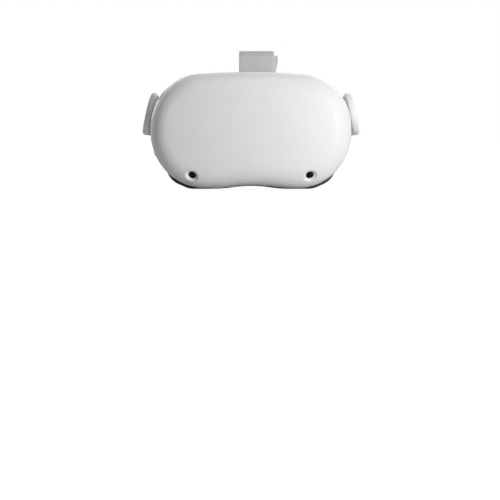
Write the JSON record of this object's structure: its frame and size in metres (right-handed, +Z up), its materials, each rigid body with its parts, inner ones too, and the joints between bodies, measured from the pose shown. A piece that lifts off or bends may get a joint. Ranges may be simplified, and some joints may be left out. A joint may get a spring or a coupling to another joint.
{
  "type": "vr headset",
  "caption": "Standalone virtual reality headset: visor with lens carriers, pull-off facial interface and a soft head strap on two rigid arms.",
  "frame": {"origin": "middle of the footprint, on the surface that the headset stands on", "axes": "+Z up, the front of the visor faces -Y, +X is the wearer's left"},
  "size_m": [0.1934, 0.2673, 0.1231],
  "materials": {
    "shell_white": "fine satin grain",
    "strap_fabric": "woven elastic",
    "black_plastic": "moulded, fine grain",
    "foam_black": "soft knit over foam",
    "soft_rubber": "matte",
    "lens_clear": "clear, ringed",
    "camera_glass": "polished black",
    "steel": "ground",
    "light_metal": "stamped",
    "board_green": "solder mask",
    "cell_wrap": "film wrap",
    "display_black": "glass faced",
    "led_white": "diffuse"
  },
  "bodies": {
    "visor": {"front_cover": "shell_white", "rear_housing": "shell_white", "top_strap_tongue": "strap_fabric", "face_shroud": "black_plastic", "camera_lower_left": "black_plastic", "camera_lower_right": "black_plastic", "camera_upper_left": "black_plastic", "camera_upper_right": "black_plastic", "fan_housing": "black_plastic", "left_speaker": "black_plastic", "right_speaker": "black_plastic", "power_switch": "black_plastic", "volume_bracket": "black_plastic", "top_strap_clip": "black_plastic", "left_pivot_bush": "black_plastic", "right_pivot_bush": "black_plastic", "audio_jack": "black_plastic", "camera_window_lower_left": "camera_glass", "camera_window_lower_right": "camera_glass", "camera_window_upper_left": "camera_glass", "camera_window_upper_right": "camera_glass", "proximity_sensor": "camera_glass", "upper_rail": "steel", "lower_rail": "steel", "pinion_pin": "steel", "housing_screws": "steel", "usb_port": "steel", "chassis": "light_metal", "heat_spreader": "light_metal", "main_board": "board_green", "battery": "cell_wrap", "display_panel": "display_black", "status_led": "led_white"},
    "head_strap": {"left_arm_cover": "shell_white", "right_arm_cover": "shell_white", "left_arm_base": "shell_white", "right_arm_base": "shell_white", "left_pivot_hub": "black_plastic", "right_pivot_hub": "black_plastic", "left_side_strap": "strap_fabric", "right_side_strap": "strap_fabric", "upper_rear_band": "strap_fabric", "lower_rear_band": "strap_fabric", "top_strap": "strap_fabric"},
    "left_strap_slider": {"left_slider": "shell_white"},
    "right_strap_slider": {"right_slider": "shell_white"},
    "facial_interface": {"interface_frame": "black_plastic", "face_foam": "foam_black"},
    "left_optics": {"left_lens_carrier": "black_plastic", "left_lens": "lens_clear", "left_lens_bezel": "soft_rubber", "left_rack": "black_plastic"},
    "right_optics": {"right_lens_carrier": "black_plastic", "right_lens": "lens_clear", "right_lens_bezel": "soft_rubber", "right_rack": "black_plastic"},
    "eye_spacing_pinion": {"ipd_pinion": "black_plastic"},
    "fan": {"fan_rotor": "black_plastic"},
    "power_key": {"power_button": "shell_white"},
    "volume_key": {"volume_rocker": "shell_white"}
  },
  "joints": [
    {"name": "strap_tilt", "type": "hinge", "parent": "visor", "child": "head_strap", "pos_m": [0, -0.078, 0.0673], "axis": [1, 0, 0], "range_deg": [-8, 8]},
    {"name": "interface_pull", "type": "slide", "parent": "visor", "child": "facial_interface", "axis": [0, 1, 0], "range_m": [0, 0.03]},
    {"name": "left_lens_slide", "type": "slide", "parent": "visor", "child": "left_optics", "axis": [1, 0, 0], "range_m": [-0.0025, 0.0025]},
    {"name": "right_lens_slide", "type": "slide", "parent": "visor", "child": "right_optics", "axis": [-1, 0, 0], "range_m": [-0.0025, 0.0025]},
    {"name": "pinion_turn", "type": "hinge", "parent": "visor", "child": "eye_spacing_pinion", "pos_m": [0, -0.088, 0.079], "axis": [0, -1, 0], "range_deg": [-30, 30]},
    {"name": "fan_spin", "type": "hinge", "parent": "visor", "child": "fan", "pos_m": [0, -0.118, 0.081], "axis": [0, 1, 0], "continuous": true},
    {"name": "power_press", "type": "slide", "parent": "visor", "child": "power_key", "axis": [0.9272, 0, 0.3746], "range_m": [0, 0.0008], "stiffness_N_per_m": 2000},
    {"name": "volume_rock", "type": "hinge", "parent": "visor", "child": "volume_key", "pos_m": [-0.02434, -0.1015, 0.00651], "axis": [0, 1, 0], "range_deg": [-3, 3], "stiffness_Nm_per_rad": 0.3},
    {"name": "left_slider_travel", "type": "hinge", "parent": "head_strap", "child": "left_strap_slider", "pos_m": [0, 0.046, 0.036], "axis": [0, 0, 1], "range_deg": [-12, 15]},
    {"name": "right_slider_travel", "type": "hinge", "parent": "head_strap", "child": "right_strap_slider", "pos_m": [0, 0.046, 0.036], "axis": [0, 0, -1], "range_deg": [-12, 15]}
  ],
  "couplings": [
    {"joint": "right_lens_slide", "follows": "left_lens_slide", "ratio": 1},
    {"joint": "pinion_turn", "follows": "left_lens_slide", "rad_per_m": 208.33}
  ]
}
